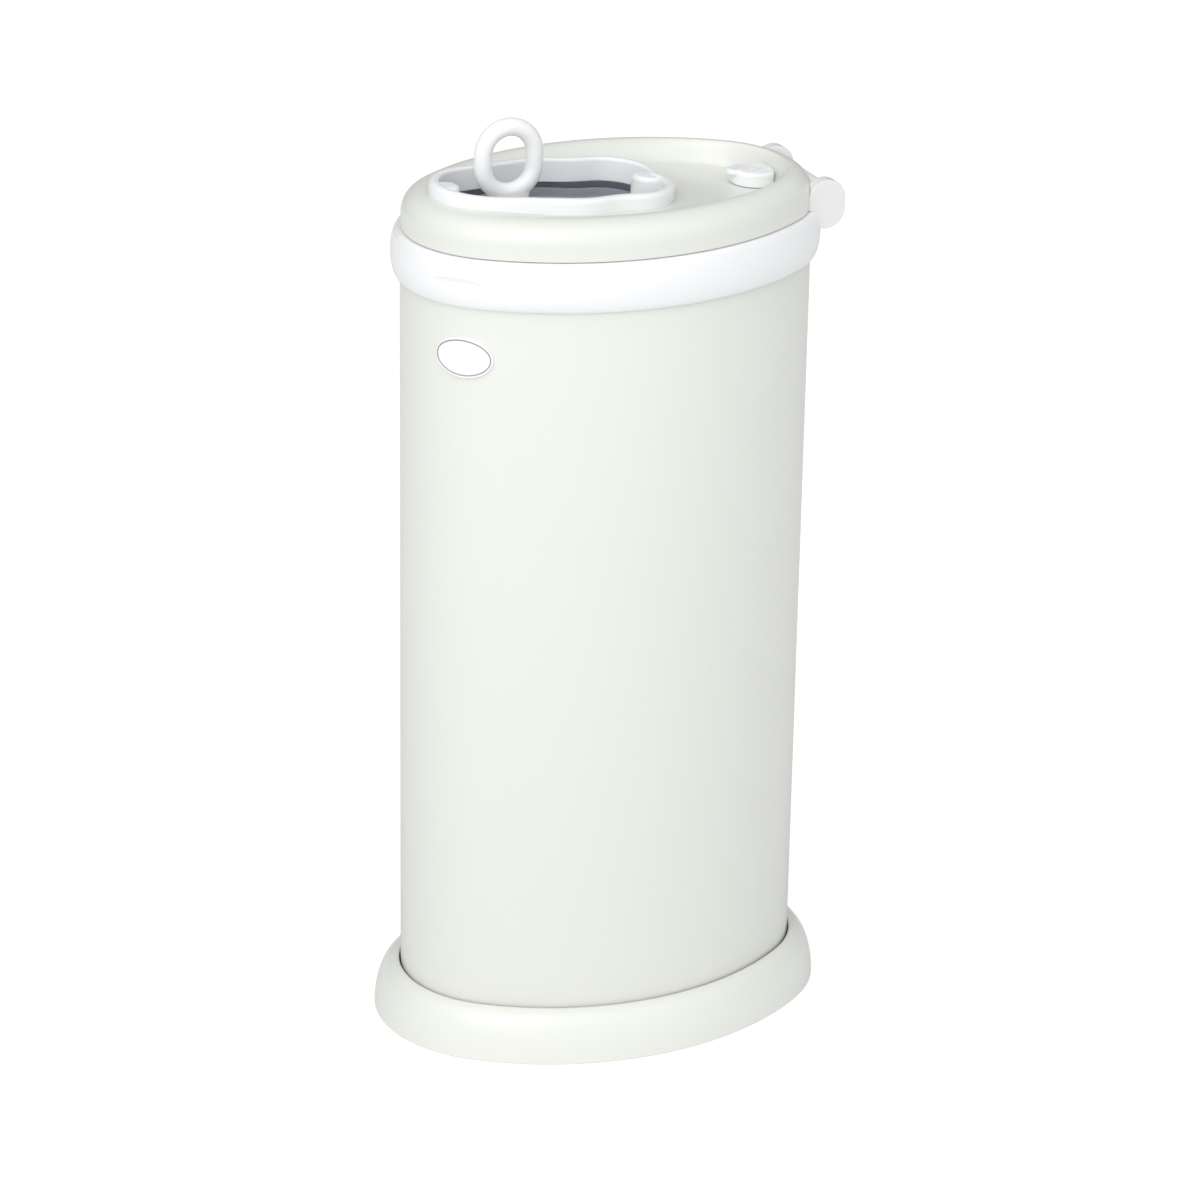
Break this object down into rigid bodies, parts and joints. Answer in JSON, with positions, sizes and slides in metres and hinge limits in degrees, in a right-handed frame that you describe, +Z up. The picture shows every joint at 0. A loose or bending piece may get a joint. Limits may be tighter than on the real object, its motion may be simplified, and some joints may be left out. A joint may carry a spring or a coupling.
{
  "type": "nappy bin",
  "caption": "Tall oval steel nappy bin with a flared foot, a hinged lid, a sliding door worked by a finger ring and a turning child lock.",
  "frame": {"origin": "on the floor under the middle of the oval body", "axes": "+Z up, -Y towards the end with the finger ring, +Y towards the hinge"},
  "size_m": [0.2, 0.28, 0.564],
  "materials": {
    "painted_steel": "smooth gloss white powder paint on sheet steel",
    "white_plastic": "glossy moulded white plastic",
    "grey_white_plastic": "matt moulded off-white plastic",
    "grey_plastic": "fine-textured grey moulded plastic",
    "seal_rubber": "soft dark blue-grey moulded seal",
    "rubber": "matt dark rubber",
    "acetal": "smooth self-lubricating off-white plastic",
    "steel": "bright plated steel",
    "zinc_steel": "zinc-coated sheet steel"
  },
  "bodies": {
    "bin": {"body_shell": "painted_steel", "foot_skirt": "painted_steel", "foot_ring": "rubber", "floor_pan": "zinc_steel", "floor_screws": "steel", "collar": "white_plastic", "collar_screws": "steel", "bag_ring": "grey_white_plastic", "badge": "white_plastic", "hinge_bracket": "white_plastic", "bracket_screws": "steel", "hinge_pin": "steel"},
    "lid": {"lid_shell": "painted_steel", "lid_frame": "white_plastic", "frame_screws": "steel", "lid_gasket": "rubber", "hinge_leaf": "white_plastic", "leaf_screws": "steel", "opening_bezel": "white_plastic", "opening_seal": "seal_rubber", "rail_left": "grey_white_plastic", "rail_right": "grey_white_plastic", "rail_screws": "steel", "knob_bushing": "acetal"},
    "door": {"sliding_door": "grey_plastic", "door_glides": "acetal", "ring_handle": "white_plastic", "ring_screws": "steel"},
    "knob": {"lock_knob": "white_plastic", "lock_cam": "acetal", "cam_screw": "steel"}
  },
  "joints": [
    {"name": "lid_hinge", "type": "hinge", "parent": "bin", "child": "lid", "pos_m": [0, 0.122, 0.506], "axis": [-1, 0, 0], "range_deg": [0, 95]},
    {"name": "door_slide", "type": "slide", "parent": "lid", "child": "door", "axis": [0, 0.998, -0.0628], "range_m": [0, 0.06]},
    {"name": "knob_turn", "type": "hinge", "parent": "lid", "child": "knob", "pos_m": [0, 0.08932, 0.50838], "axis": [0, 0.0628, 0.998], "range_deg": [0, 90]}
  ]
}
